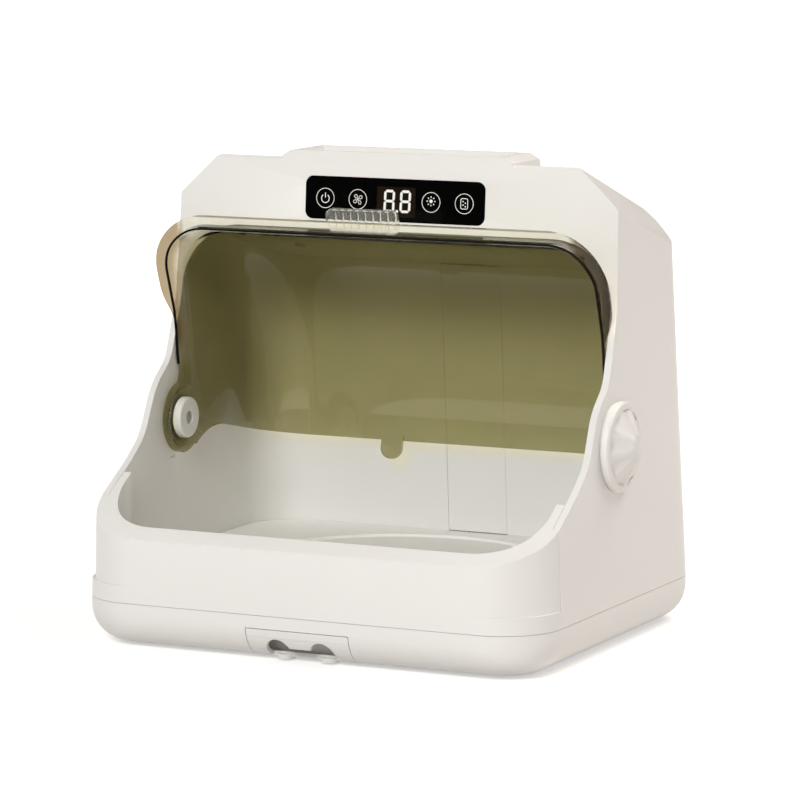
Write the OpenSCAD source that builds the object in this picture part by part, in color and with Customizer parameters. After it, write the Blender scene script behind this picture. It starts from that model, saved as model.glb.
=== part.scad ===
// Bottle sterilizing and drying cabinet with a swing-up visor
// Frame: origin on the ground under the middle, front towards -Y, up +Z

/* [Cabinet] */
// Width across the sides at the joint line
body_w = 360; // [340:1:380]
// Depth from front to back at the joint line
body_d = 308; // [300:1:320]
// Height of the joint line between base pan and housing
split_h = 33; // [31:0.5:35]
// Corner radius in plan
corner_r = 44; // [40:1:48]
// Wall thickness of the housing
wall = 5; // [4.5:0.1:5.5]
// Inward slope of the sides in degrees
side_draft = 1.46; // [1:0.02:1.8]
// Forward slope of the back in degrees
back_lean = 4; // [3:0.1:5]
// Fall of the roof towards the back in degrees
roof_fall = 18; // [16:0.5:20]
// Width of the bevels at the top corners
bevel_w = 31; // [26:1:36]
// Height of the bevels at the top corners
bevel_h = 30; // [26:1:34]
// Radius of the rear edge of the roof
roof_r = 35; // [25:1:40]
// Radius of the front edge of the roof
ridge_r = 3; // [1:0.5:5]
// Radius between the roof and its bevels
bevel_r = 6; // [4:0.5:8]

/* [Control panel] */
// Distance of the ridge behind the middle
ridge_y = 5; // [4:0.5:7]
// Backward lean of the panel in degrees
panel_lean = 4; // [3:0.1:5]
// Height of the panel above the opening
panel_h = 52.4; // [50:0.2:56]
// Corner radius of the opening under the panel
arch_r = 45; // [35:1:50]
// Width of the black lens
lens_w = 142; // [136:1:150]
// Height of the black lens
lens_h = 30.8; // [29:0.2:33]
// Corner radius of the lens
lens_r = 6; // [4:0.5:8]
// Thickness of the lens
lens_t = 2; // [1.6:0.1:2.4]
// Height of the lens above the opening
lens_gap = 7.8; // [7:0.1:9]
// Distance from the middle to the inner touch keys
key_in = 29; // [28:0.2:32]
// Distance from the middle to the outer touch keys
key_out = 55; // [54:0.5:57]

/* [Roof tray] */
// Width of the tray along its top edge
tray_top_w = 168; // [150:1:176]
// Height of the tray's rim above the ridge
tray_rise = 4.2; // [3.5:0.1:5.5]
// Depth of the tray from the panel to its back
tray_depth = 48; // [40:1:52]
// Thickness of the tray's rim
tray_rim = 4; // [3:0.5:5]

/* [Side walls] */
// Height of the visor's pivot
pivot_h = 145; // [142:1:150]
// Distance of the pivot from the middle, front negative
pivot_y = -6; // [-9:0.5:-4]
// Radius of the wall's shoulder round the pivot
shoulder_r = 44; // [42:0.5:48]
// Height at which the wall's edge leaves the panel
foot_h = 238; // [232:1:244]
// Distance from the pivot at which the rim turns up
bend_r = 128; // [122:1:134]
// Distance from the pivot at which the rim meets the waist
waist_r = 73.7; // [70:0.1:78]
// Rise of the waist's lower end above the rim's line in degrees
waist_rise = 5.6; // [4.5:0.1:6.5]

/* [Front apron] */
// Height of the apron's front edge
apron_h = 79.4; // [76:0.2:84]
// Thickness of the apron at the front
apron_t = 15; // [13:0.5:17]
// Thickness of the apron's cheeks inside the side walls
cheek_t = 6.4; // [5:0.2:8]
// Reach of the apron along the outside
apron_reach = 45; // [40:1:52]
// Reach of the cheeks along the inside
cheek_reach = 67; // [60:1:70]
// Corner radius of the apron in plan
apron_r = 50; // [47:0.5:53]
// Height of the ledge that carries the apron
ledge_h = 45.5; // [42:0.5:48]

/* [Visor] */
// Wall thickness of the visor
visor_t = 2.5; // [2:0.1:3]
// Radius between the visor's flanks and its drum
visor_corner = 38; // [30:1:44]
// Gap between the drum and the back wall at pivot height
visor_back_gap = 7.2; // [6.5:0.1:9]
// Gap between the flanks and the side walls at the opening
visor_side_gap = 1.4; // [1:0.1:2]
// Gap between the drum and the opening's upper edge
visor_top_gap = 2; // [1.5:0.1:3]
// Outward flare of the drum at its front edge
flare_up = 6.4; // [5:0.2:7.4]
// Outward flare of the flanks at the front edge
flare_side = 3.1; // [2.4:0.1:3.1]
// Length of the flare behind the front edge
flare_l = 20; // [16:1:24]
// Width of the outward lip outside the drum
lip_w = 8.6; // [7.5:0.1:9.6]
// Width of the outward lip outside the flanks
lip_side = 8; // [6.5:0.1:8.5]
// Thickness of the lip
lip_t = 2.2; // [1.8:0.1:2.6]
// Angle of the lip when open, from the back upwards
lip_angle = 102.4; // [100:0.2:104]
// Angle of the visor's rear edge when open
tail_angle = -12; // [-13:0.5:-8]
// Distance kept between the lip and the apron when shut
lip_gap = 2.2; // [1.8:0.1:2.6]
// Width of the seal
seal_w = 1.5; // [1.2:0.1:2]
// Radius of the round ears at the pivot
ear_r = 26; // [24:0.5:28]
// Width of the ribbed grip
grip_w = 55; // [48:1:62]
// Reach of the grip past the lip
grip_reach = 9; // [7:0.5:11]
// Distance of the grip from the middle
grip_x = -7; // [-10:0.5:0]
// Number of ribs on the grip
grip_ribs = 9; // [5:1:11]
// Width of the tongue on the rear edge
tongue_w = 17; // [14:0.5:20]
// Length of the tongue on the rear edge
tongue_l = 14; // [12:0.5:16]
// Distance of the tongue from the middle
tongue_x = -63; // [-70:1:-56]

/* [Pivots] */
// Radius of the outer knobs
knob_r = 32; // [31:0.5:34]
// Height of the outer knobs
knob_h = 15.5; // [14:0.5:17]
// Width of the plain rim round a knob's flutes
knob_rim = 5; // [4:0.2:6]
// Number of flutes round a knob
knob_flutes = 9; // [8:1:10]
// Radius of the pivot shaft
shaft_r = 7.5; // [6.5:0.1:8]
// Radius of the white inner buttons
button_r = 15; // [13:0.5:17]

/* [Base] */
// Height of the base pan above the ground
base_lift = 1.5; // [1:0.1:2]
// Wall thickness of the base pan
pan_t = 3; // [2.5:0.1:3.5]
// Radius of the bottom edge
bottom_r = 25; // [22:0.5:27]
// Height of the chamber floor
floor_h = 47.5; // [47:0.5:50]
// Thickness of the chamber floor
floor_t = 2.5; // [2.3:0.1:2.8]
// Radius of the rubber feet
foot_r = 10; // [8:0.5:12]
// Distance of the feet inside the flat of the bottom
foot_in = 12; // [8:1:16]

/* [Water tray] */
// Width of the tray's opening in the base
drawer_w = 80; // [74:1:86]
// Height of the tray's upper edge
drawer_h = 24; // [22:0.5:26]
// Depth of the tray from the front
drawer_l = 112; // [104:1:118]
// Wall thickness of the tray
drawer_t = 2; // [1.6:0.1:2.4]
// Distance between the two finger lobes
finger_gap = 34; // [30:0.5:38]
// Radius of the finger lobes
finger_r = 9.5; // [8.5:0.1:10.5]
// Height of the top of the finger lobes
finger_h = 17; // [15:0.2:18]
// Height of the edge between the finger lobes
finger_neck = 10.5; // [9:0.2:12]

/* [Dryer] */
// Radius of the blower's scroll
scroll_r = 42; // [40:0.5:44]
// Height of the blower's scroll
scroll_h = 28; // [26:0.5:29]
// Radius of the blower wheel
wheel_r = 34; // [32:0.5:35]
// Number of blades on the wheel
blades = 24; // [16:1:30]
// Thickness of the inlet filter
filter_t = 5; // [4:0.2:5.6]

/* [Hidden] */
$fn = 64;
block_fn = 48;
sliver = 0.01;
skin = 0.05;
fit = 0.3;
slip = 0.05;
seam_gap = 0.3;
arc_steps = 8;
reach = 30;
front_y = -body_d / 2;

// Outer faces of the cabinet at a height
function side_x(z) = body_w / 2 - tan(side_draft) * (z - split_h);
function back_y(z) = body_d / 2 - tan(back_lean) * (z - split_h);
function panel_y(z) = ridge_y + tan(panel_lean) * (z - ridge_h);
function at_pivot(r, a) = [pivot_y + r * cos(a), pivot_h + r * sin(a)];

// The visor fills the depth behind its pivot, and the panel starts above it
visor_r = back_y(pivot_h) - wall - visor_back_gap - pivot_y;
opening_h = pivot_h + visor_r + visor_top_gap;
ridge_h = opening_h + panel_h;
visor_half = side_x(opening_h) - wall - visor_side_gap;
roof_top = ridge_h + reach;
rim_fall = atan((pivot_h - apron_h) / (pivot_y - front_y));

// Pivot stack, from the middle outwards
ear_floor = 2.5;
ear_wall = 4;
ear_root = 0.5;
button_proud = 4.2;
ear_out = side_x(pivot_h + ear_r) - wall - 2 * fit;
ear_in = visor_half - ear_root;
pad_r = knob_r - 1;
pad_out = side_x(pivot_h - pad_r) + fit;
bush_t = 3;
bush_r = shaft_r + slip + bush_t;
flange_t = 1.2;
flange_w = 5;
knob_in = pad_out + fit;
cup_floor = ear_out - ear_floor;
cup_depth = cup_floor - visor_half + visor_t + 1;
screw_r = 2;
screw_head_r = 4;
screw_head_h = 2.5;
screw_grip = 10;

// Slot for the visor's stop in each side wall, under the ear
stop_y = pivot_y - 7.5;
stop_h = pivot_h - ear_r - 2.6;
stop_l = 7.5;
stop_w = 1.3;
stop_in = 1.2;

// Lip, seal and grip, drawn in the plane of the visor's front edge
lip_start = 66;
lip_course = [[0, 0], [lip_start, 0], [72, 0.04], [78, 0.28], [84, 0.58], [90, 0.83], [97, 0.97], [106, 1]];
flare_flat = 7;
flare_root = 0.15;
flare_back = lip_gap + flare_l;
flare_drop = sqrt(pow(visor_r, 2) - pow(flare_back, 2)) - visor_r;
rim_corner = 35;
edge_slope = waist_r * sin(waist_rise) / (bend_r - waist_r * cos(waist_rise));
edge_top = 80;
edge_course = [[ear_r, 3], [46, 3.6], [56, 4.8], [66, 5.8], [edge_top, edge_slope * (bend_r - edge_top)],
    [bend_r, 0.2], [bend_r + 12, 0]];
seal_t = lip_gap - 0.4;
grip_t = 3;
rib_t = 1.6;
rib_h = 2.2;
tongue_rise = 0.8;
tongue_root = 4;
nose_r = 14;
tail_r = 60;

// Ceiling under the roof compartment
ceil_gap = 5;
ceil_t = 2.5;
pivot_v = (pivot_y - ridge_y) * sin(roof_fall) + (pivot_h - ridge_h) * cos(roof_fall);
ceil_v = pivot_v + visor_r + ceil_gap;
ceil_top = ceil_v + ceil_t;
ceil_boss_x = body_w / 3;
ceil_boss_u = [30, 104];
boss_r = 5;
uv_u = 70;
uv_w = 150;
uv_d = 16;
uv_flange = 3;
uv_t = 1.5;
uv_gap = 5;
uv_end = 12;
uv_post = 4;
lamps = 6;
lamp_w = 5;
lamp_t = 1.2;
board_t = 1.6;
plunger_r = 1.2;
plunger_y = wall + 2;
plunger_slot = 2 * plunger_r + 0.8;

// Height at which the ceiling meets the back wall
ceil_back_h = (ceil_v + ridge_h * cos(roof_fall) - sin(roof_fall)
    * (body_d / 2 - wall + tan(back_lean) * split_h - ridge_y))
    / (cos(roof_fall) - tan(back_lean) * sin(roof_fall));

// Cable duct in the back wall
duct_w = 48;
duct_cover_t = 1.5;
duct_depth = 2.6;
duct_l = (ceil_back_h - floor_h) / cos(back_lean) - 2 * fit;
cable_w = 18;
cable_t = 0.8;
cable_over = 9;

// Lens and the parts behind it
lens_z = opening_h + lens_gap + lens_h / 2;
lens_proud = 0.4;
lens_seat = lens_t - lens_proud;
display_w = 38;
display_h = 19;
board_gap = 5;
board_w = lens_w - 8;
board_h = lens_h - 4;
chip = 16;
chip_t = 3;
plug_w = 12;
plug_h = 6;
spring_r = 4.5;

// Base
pan_floor = base_lift + pan_t;
floor_low = floor_h - floor_t;
post_r = 7;
post_x = body_w / 2 - bottom_r - post_r + 2;
post_y = [front_y + 59, 10, -front_y - 49];
post_head = 12;
rib_w = 3;
foot_x = body_w / 2 - bottom_r - foot_r - foot_in;
foot_y = body_d / 2 - bottom_r - foot_r - foot_in;
foot_seat = 1;
drawer_gap = 0.5;
drawer_half = drawer_w / 2 - drawer_gap;
drawer_front = front_y + bottom_r;
drawer_back = front_y + drawer_l;
fascia_t = 3;
drain_y = (drawer_front + drawer_back) / 2;
drain_r = 5;
drain_t = 2;
drain_gap = 1.5;
ring_r = 116;
ring_w = 4;
ring_rise = 2;
bump_r = 6.5;
finger_in = 16.5;

// Dryer, with its inlet under the blower wheel
fan_x = 5 - body_w / 4;
fan_y = 30;
scroll_t = 2;
cover_t = 1.5;
cover_r = 34;
filter_r = 31;
filter_gap = 1;
slot_pitch = 7;
slot_w = 3;
filter_z = base_lift + cover_t;
scroll_z = filter_z + filter_t + fit;
scroll_top = scroll_z + scroll_h;
inlet_r = 26;
outlet_w = 34;
outlet_x = fan_x + scroll_r + 14;
outlet_y = fan_y - scroll_r;
wheel_gap = 2;
wheel_z = scroll_z + scroll_t + wheel_gap;
wheel_h = scroll_h - 2 * scroll_t - 2 * wheel_gap;
blade_t = 1;
blade_l = 9;
hub_r = 7;
spindle_r = 1.6;
motor_r = 15;
motor_h = floor_low - scroll_top - 1;
duct_len = 74;
vent_x = outlet_x + outlet_w;
vent_w = 38;
vent_d = outlet_w - 2 * scroll_t - 2;
core_l = 18;
core_in = 8;
core_bar = 2.4;
fin_t = 0.8;

// Power side
board_x = body_w / 4 - 38;
board_y = 10;
main_w = 88;
main_d = 84;
main_z = pan_floor + 6;
main_h = 20;
standoff_r = 3;
standoff_in = 4;
can_r = 7;
main_cans = [[0.55, 0.74], [0.75, 0.74]];
// Blocks on the main board as parts of its width, depth and height: x, y, width, depth, height
main_blocks = [
    [0.09, 0.55, 0.32, 0.29, 1],
    [0.11, 0.12, 0.23, 0.19, 0.75],
    [0.5, 0.14, 0.27, 0.05, 0.8],
    [0.86, 0.36, 0.09, 0.29, 0.5]
];
inlet_x = body_w / 2 - 75;
inlet_z = (split_h + floor_low) / 2;
inlet_w = 24;
inlet_h = 8.6;
inlet_rim = 2.6;
inlet_flange = 1.4;
inlet_depth = 15;
socket_r = 3.8;
pin_gap = 8.6;
pin_r = 1.2;
pin_l = 10;

// Colours of the materials
white_abs = [0.93, 0.92, 0.89];
smoke = [0.42, 0.40, 0.24, 0.5];
clear = [0.85, 0.86, 0.82, 0.5];
black_gloss = [0.03, 0.03, 0.03];
rubber = [0.08, 0.08, 0.08];
board_green = [0.12, 0.35, 0.2];
steel = [0.75, 0.76, 0.78];
grey_plastic = [0.45, 0.45, 0.46];
foam = [0.3, 0.3, 0.32];
ceramic = [0.8, 0.6, 0.3];

// An outline whose corners are given as [y, z, radius]
function unit(v) = v / norm(v);
function flat(p) = [p[0], p[1]];
function corner_arc(a, b, c, r) =
    let (
        u = unit(a - b),
        w = unit(c - b),
        half = acos(u * w) / 2,
        m = b + unit(u + w) * r / sin(half),
        p = b + u * r / tan(half) - m,
        q = b + w * r / tan(half) - m,
        start = atan2(p[1], p[0]),
        turn = (atan2(q[1], q[0]) - start + 540) % 360 - 180
    )
    [for (i = [0:arc_steps]) m + r * [cos(start + turn * i / arc_steps), sin(start + turn * i / arc_steps)]];
function rounded(pts) =
    let (n = len(pts))
    [for (i = [0:n - 1])
        each pts[i][2] == 0
            ? [flat(pts[i])]
            : corner_arc(flat(pts[(i + n - 1) % n]), flat(pts[i]), flat(pts[(i + 1) % n]), pts[i][2])];

// Corners of the roof in the side view, at a depth inside the outer faces
function roof_front(in) =
    let (
        t = tan(roof_fall),
        p = tan(panel_lean),
        y = (in / cos(panel_lean) - p * in / cos(roof_fall)) / (1 + p * t)
    )
    [ridge_y + y, ridge_h - in / cos(roof_fall) - t * y];
function roof_back(in) =
    let (
        t = tan(roof_fall),
        b = tan(back_lean),
        z = ridge_h - in / cos(roof_fall) + t * ridge_y,
        y = (body_d / 2 - in + skin - b * (z - split_h)) / (1 - b * t)
    )
    [y, z - t * y];

// Side view of the shell: rim, waist and shoulder run round the pivot
function shell_side() =
    let (low = split_h - reach, out = front_y - reach)
    [
        [out, low, 0],
        [out, pivot_h - (pivot_y - out) * tan(rim_fall), 0],
        concat(at_pivot(bend_r, 180 + rim_fall), 100),
        concat(at_pivot(waist_r, 180 + rim_fall - waist_rise), 60),
        concat(at_pivot(shoulder_r + 7.5, 189.5), 40),
        concat(at_pivot(shoulder_r - 0.5, 142), 45),
        concat(at_pivot(shoulder_r + 2, 106), 25),
        [panel_y(foot_h), foot_h, 120],
        concat(roof_front(0), ridge_r),
        concat(roof_back(0), roof_r),
        [back_y(low) + skin, low, 0]
    ];

// Side view of the space behind the panel, at a depth inside the faces
function chamber_side(in) =
    let (low = split_h - reach)
    [
        [panel_y(low) + in / cos(panel_lean), low, 0],
        concat(roof_front(in), 0),
        concat(roof_back(in), roof_r - in),
        [back_y(low) - in + skin, low, 0]
    ];

// Places on the object
module along_x(w) rotate([90, 0, 90]) linear_extrude(w, center = true) children();
module along_y(y0, y1) translate([0, y1, 0]) rotate([90, 0, 0]) linear_extrude(y1 - y0) children();
module about_pivot() translate([0, pivot_y, pivot_h]) rotate([90, 0, 90]) children();
module on_roof() translate([0, ridge_y, ridge_h]) rotate([-roof_fall, 0, 0]) children();
module on_panel() translate([0, panel_y(lens_z), lens_z]) rotate([-panel_lean, 0, 0]) children();
module on_back(z, in) translate([0, back_y(z) - in, z]) rotate([back_lean, 0, 0]) children();
module at_side(s) translate([0, pivot_y, pivot_h]) rotate([0, 90 * s, 0]) children();

// A box centred in X, given by its Y and Z limits
module slab(w, y0, y1, z0, z1) translate([-w / 2, y0, z0]) cube([w, y1 - y0, z1 - z0]);

// A rectangle with round corners, centred
module round_rect(w, h, r) {
    square([w - 2 * r, h], center = true);
    square([w, h - 2 * r], center = true);
    for (sx = [-1, 1], sy = [-1, 1])
        translate([sx * (w / 2 - r), sy * (h / 2 - r)]) circle(r);
}

// The drafted, round-cornered block that all cabinet pieces are cut from
module cabinet_block(in, z0, z1, r = corner_r, front_in = 0)
    hull()
        for (z = [z0, z1], sx = [-1, 1], rear = [0, 1])
            translate([
                sx * (side_x(z) - in - r),
                rear == 1 ? back_y(z) - in - r : front_y + in + front_in + r,
                z
            ])
                cylinder(r = r, h = sliver, $fn = block_fn);

// The bevels along both top corners, running down the roof
module bevel_tent(in) {
    slope = bevel_h * cos(roof_fall) / bevel_w;
    flat_half = side_x(ridge_h - bevel_h) - bevel_w;
    peak = flat_half * slope - in * sqrt(1 + slope * slope);
    top = skin - in;
    edge = (peak - top) / slope;
    size = body_d + ridge_h;
    on_roof() along_y(-size, size)
        polygon(rounded([[-size, -size, 0], [-size, peak - size * slope, 0], [-edge, top, bevel_r],
            [edge, top, bevel_r], [size, peak - size * slope, 0], [size, -size, 0]]));
}

// The opening under the panel, with round upper corners
module opening_arch() {
    spring_h = opening_h - arch_r;
    half = side_x(spring_h) - wall;
    along_y(front_y - reach, roof_front(wall)[0] + 1) {
        translate([-body_w / 2, 0]) square([body_w, spring_h]);
        translate([-(half - arch_r), 0]) square([2 * (half - arch_r), opening_h]);
        for (s = [-1, 1]) translate([s * (half - arch_r), spring_h]) circle(arch_r);
    }
}

// The open tray that stands on the roof behind the panel
module roof_tray() {
    top = ridge_h + tray_rise;
    low = ridge_h - tray_depth;
    half = tray_top_w / 2;
    flare = 7;
    tray_r = 4;
    back = panel_y(top) + tray_depth;
    difference() {
        intersection() {
            along_x(body_w)
                polygon([[panel_y(low), low], [panel_y(top), top], [back, top], [back, low]]);
            along_y(0, body_d)
                polygon(rounded([[half, top, tray_r], [half + flare, ridge_h, 0], [half + 2 * flare, low, 0],
                    [-half - 2 * flare, low, 0], [-half - flare, ridge_h, 0], [-half, top, tray_r]]));
            on_roof() translate([-body_w / 2, -body_d / 2, fit - wall]) cube([body_w, body_d, 2 * reach]);
        }
        slab(2 * (half - tray_rim), panel_y(top) + tray_rim, back - tray_rim, low - 1, top + 1);
    }
}

// Screw posts, repeated at the same places in the housing and in the base
module at_posts() for (sx = [-1, 1], y = post_y) translate([sx * post_x, y, 0]) children();
module at_ceiling_bosses()
    on_roof() for (sx = [-1, 1], u = ceil_boss_u) translate([sx * ceil_boss_x, u, 0]) children();
module at_keys() for (x = [-key_out, -key_in, key_in, key_out]) translate([x, 0, 0]) children();
module at_board_bosses()
    for (sx = [-1, 1], sz = [-1, 1])
        translate([sx * (key_in + key_out) / 2, 0, sz * (board_h / 2 - 3)]) rotate([-90, 0, 0]) children();

module housing_walls() {
    difference() {
        union() {
            intersection() {
                cabinet_block(0, split_h + seam_gap, roof_top);
                along_x(2 * body_w) polygon(rounded(shell_side()));
                bevel_tent(0);
            }
            roof_tray();
            for (s = [-1, 1])
                at_side(s) translate([0, 0, pad_out - wall]) cylinder(r = pad_r, h = wall);
        }
        intersection() {
            cabinet_block(wall, split_h - 1, roof_top, corner_r - wall);
            union() {
                intersection() {
                    along_x(2 * body_w) polygon(rounded(chamber_side(wall)));
                    bevel_tent(wall);
                }
                opening_arch();
            }
        }
        slab(2 * body_w, front_y - reach, front_y + apron_reach, ledge_h, opening_h);
    }
}

module housing_bosses() {
    at_posts() {
        translate([0, 0, split_h]) cylinder(r = post_r, h = floor_low - split_h);
    }
    rib_l = side_x(floor_h) - wall / 2 - post_x;
    for (sx = [-1, 1], y = post_y)
        slab_at(sx * (post_x + rib_l / 2), rib_l, y - rib_w / 2, y + rib_w / 2,
            split_h + seam_gap, floor_low);
    at_ceiling_bosses() translate([0, 0, ceil_top]) cylinder(r = boss_r, h = -wall / 2 - ceil_top);
    on_panel() at_board_bosses() translate([0, 0, wall / 2]) cylinder(r = 3, h = wall / 2 + board_gap);
}

module housing() color(white_abs) difference() {
    union() {
        housing_walls();
        housing_bosses();
    }
    for (s = [-1, 1]) {
        at_side(s) {
            translate([0, 0, cup_floor]) cylinder(r = bush_r + slip, h = body_w / 4);
            translate([0, 0, pad_out - flange_t]) cylinder(r = bush_r + flange_w + slip, h = wall);
        }
        slab_at(s * (side_x(stop_h) - wall), 2 * stop_in, stop_y - stop_l / 2, stop_y + stop_l / 2,
            stop_h - stop_w / 2, stop_h + stop_w / 2);
    }
    at_posts() translate([0, 0, split_h - 1]) cylinder(r = screw_r + slip, h = screw_grip + 2);
    at_ceiling_bosses() translate([0, 0, ceil_top - 1]) cylinder(r = screw_r + slip, h = screw_grip + 2);
    on_panel() {
        along_y(-reach, lens_seat) round_rect(lens_w + fit, lens_h + fit, lens_r + fit / 2);
        along_y(0, wall + 1) square([display_w + 2 * fit, display_h + 2 * fit], center = true);
        at_keys() rotate([-90, 0, 0]) cylinder(r = spring_r + 2 * fit, h = wall + 1);
    }
    on_back(floor_h, wall)
        slab(duct_w + fit, -1, duct_depth, split_h - floor_h + 3, duct_l + cable_over + 2);
    on_back(inlet_z, 0) translate([inlet_x, 0, 0]) {
        along_y(-2 * wall, wall) square([inlet_w + fit, inlet_h + fit], center = true);
        along_y(-inlet_flange, wall)
            round_rect(inlet_w + inlet_rim + fit, inlet_h + inlet_rim + fit, inlet_rim);
    }
}

module front_apron() color(white_abs) difference() {
    intersection() {
        union() {
            intersection() {
                cabinet_block(0, ledge_h, opening_h, apron_r);
                slab(2 * body_w, front_y - reach, front_y + apron_reach - seam_gap, ledge_h, opening_h);
            }
            intersection() {
                cabinet_block(wall + fit, floor_h, opening_h, corner_r - wall);
                slab(2 * body_w, front_y - reach, front_y + cheek_reach, floor_h, opening_h);
            }
        }
        along_x(2 * body_w) polygon(rounded(shell_side()));
    }
    cabinet_block(wall + cheek_t, ledge_h - 1, opening_h, corner_r, apron_t - wall - cheek_t);
    cabinet_block(wall, ledge_h - 1, floor_h, corner_r - wall);
}

// The base's outer form, with a wide round along its bottom edge
module base_form(in, top)
    hull()
        for (sx = [-1, 1], sy = [-1, 1])
            translate([sx * (body_w / 2 - corner_r), sy * (body_d / 2 - corner_r), 0])
                rotate_extrude($fn = block_fn) {
                    translate([0, base_lift + in]) square([corner_r - bottom_r, top - base_lift - in]);
                    translate([0, base_lift + bottom_r]) square([corner_r - in, top - base_lift - bottom_r]);
                    intersection() {
                        translate([corner_r - bottom_r, base_lift + bottom_r])
                            circle(bottom_r - in, $fn = 40);
                        square([corner_r, top]);
                    }
                }

module base_pan() color(white_abs) difference() {
    union() {
        difference() {
            base_form(0, split_h);
            base_form(pan_t, split_h + 1);
        }
        at_posts() translate([0, 0, base_lift]) cylinder(r = post_r, h = split_h - base_lift);
        for (s = [-1, 1])
            slab_at(s * (drawer_w + drawer_t) / 2, drawer_t, drawer_front, drawer_back,
                pan_floor - 1, drawer_h);
        translate([fan_x, fan_y, pan_floor - 1]) difference() {
            cylinder(r = cover_r + scroll_t, h = scroll_z - pan_floor + 1);
            translate([0, 0, -1]) cylinder(r = filter_r + filter_gap, h = scroll_z);
        }
        for (x = [standoff_in, main_w - standoff_in], y = [standoff_in, main_d - standoff_in])
            translate([board_x + x, board_y + y, pan_floor - 1])
                cylinder(r = standoff_r, h = main_z - pan_floor + 1);
    }
    slab(drawer_w, front_y - reach, drawer_front, -1, drawer_h);
    slab(drawer_w, drawer_front - 1, drawer_back + drawer_gap, pan_floor, drawer_h);
    translate([fan_x, fan_y, base_lift - 1]) cylinder(r = cover_r + fit / 2, h = cover_t + 1);
    translate([fan_x, fan_y, base_lift]) cylinder(r = filter_r + filter_gap, h = scroll_z);
    at_posts() {
        translate([0, 0, base_lift - 1]) cylinder(r = screw_head_r + 0.5, h = post_head - base_lift + 1);
        cylinder(r = screw_r + slip, h = split_h + 1);
    }
    for (sx = [-1, 1], sy = [-1, 1])
        translate([sx * foot_x, sy * foot_y, 0]) cylinder(r = foot_r + slip, h = base_lift + foot_seat);
}

// A slab whose middle stands at a distance from the middle plane
module slab_at(x, w, y0, y1, z0, z1) translate([x, 0, 0]) slab(w, y0, y1, z0, z1);

module floor_plate() color(white_abs) difference() {
    union() {
        intersection() {
            cabinet_block(wall + fit, floor_low, floor_h, corner_r - wall - fit);
            slab(2 * body_w, front_y, body_d / 2, floor_low, floor_h);
        }
        translate([0, ridge_y, floor_h - 1]) difference() {
            cylinder(r = ring_r, h = ring_rise + 1);
            translate([0, 0, -1]) cylinder(r = ring_r - ring_w, h = ring_rise + 3);
        }
        translate([0, drain_y, drawer_h + drain_gap])
            cylinder(r = drain_r + drain_t, h = floor_low - drawer_h);
    }
    translate([0, drain_y, 0]) cylinder(r = drain_r, h = floor_h + 1);
    slab_at(vent_x, vent_w + fit, vent_y0(), vent_y0() + vent_d + fit, floor_low - 1, floor_h + 4);
}
function vent_y0() = outlet_y + scroll_t + 1 - fit / 2;

module air_grille() color(white_abs) {
    slats = 7;
    pitch = vent_d / slats;
    difference() {
        slab_at(vent_x, vent_w, vent_y0() + fit / 2, vent_y0() + fit / 2 + vent_d, floor_low, floor_h);
        for (i = [0:slats - 1])
            slab_at(vent_x, vent_w - 6, vent_y0() + fit / 2 + (i + 0.25) * pitch,
                vent_y0() + fit / 2 + (i + 0.75) * pitch, floor_low - 1, floor_h + 1);
    }
}

module ceiling_panel() color(white_abs) difference() {
    union() {
        intersection() {
            cabinet_block(wall + fit, opening_h - body_d / 2, roof_top, corner_r - wall - fit);
            along_x(2 * body_w) polygon(rounded(chamber_side(wall + fit)));
            on_roof() translate([-body_w, -body_d, ceil_v]) cube([2 * body_w, 2 * body_d, ceil_t]);
        }
        on_roof() for (s = [-1, 1])
            translate([s * (uv_w / 2 + 2 * uv_post), uv_u, ceil_top - 1])
                cylinder(r = uv_post, h = uv_t + uv_gap + 1);
    }
    at_ceiling_bosses() translate([0, 0, ceil_v - 1]) cylinder(r = screw_r + slip, h = ceil_t + 2);
    on_roof() translate([0, uv_u, ceil_v - 1]) linear_extrude(ceil_t + 2) square([uv_w, uv_d], center = true);
    on_panel() slab_at(tongue_x, plunger_slot, 0, plunger_y + plunger_slot / 2, -2 * lens_h, 0);
}

module duct_cover() color(white_abs) on_back(floor_h, wall) slab(duct_w, 0, duct_cover_t, fit, duct_l);

module panel_cable() color(grey_plastic) on_back(floor_h, wall)
    slab(cable_w, duct_cover_t, duct_cover_t + cable_t, split_h - floor_h + 4, duct_l + cable_over);

module control_lens() color(black_gloss) on_panel()
    along_y(-lens_proud, lens_seat) round_rect(lens_w, lens_h, lens_r);

module display_module() color(black_gloss) on_panel()
    slab(display_w, lens_seat, wall + board_gap, -display_h / 2, display_h / 2);

module control_board() color(board_green) on_panel() {
    back = wall + board_gap + board_t;
    slab(board_w, wall + board_gap, back, -board_h / 2, board_h / 2);
    slab(chip, back, back + chip_t, -chip / 2, chip / 2);
    slab_at(-board_w / 4, plug_w, back, back + plug_h, -plug_h / 2, plug_h / 2);
}

module touch_springs() color(steel) on_panel() at_keys()
    translate([0, lens_seat, 0]) rotate([-90, 0, 0]) cylinder(r = spring_r, h = wall + board_gap - lens_seat);

module interlock_switch() color(black_gloss) {
    body_l = 20;
    body_gap = 0.4;
    front = panel_y(opening_h) + wall;
    seat_h = ridge_h + (ceil_top - (front - ridge_y) * sin(roof_fall)) / cos(roof_fall) + fit;
    low = (seat_h - lens_z) / cos(panel_lean) + (wall + body_gap) * tan(panel_lean);
    tip_h = pivot_h + visor_r + tongue_rise + body_gap;
    tip = (tip_h - lens_z) / cos(panel_lean) + plunger_y * tan(panel_lean);
    on_panel() {
        slab_at(tongue_x, body_l, wall + body_gap, wall + board_gap, low, -spring_r - 2 * fit);
        translate([tongue_x, plunger_y, tip]) cylinder(r = plunger_r, h = low - tip + 1);
    }
}

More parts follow.
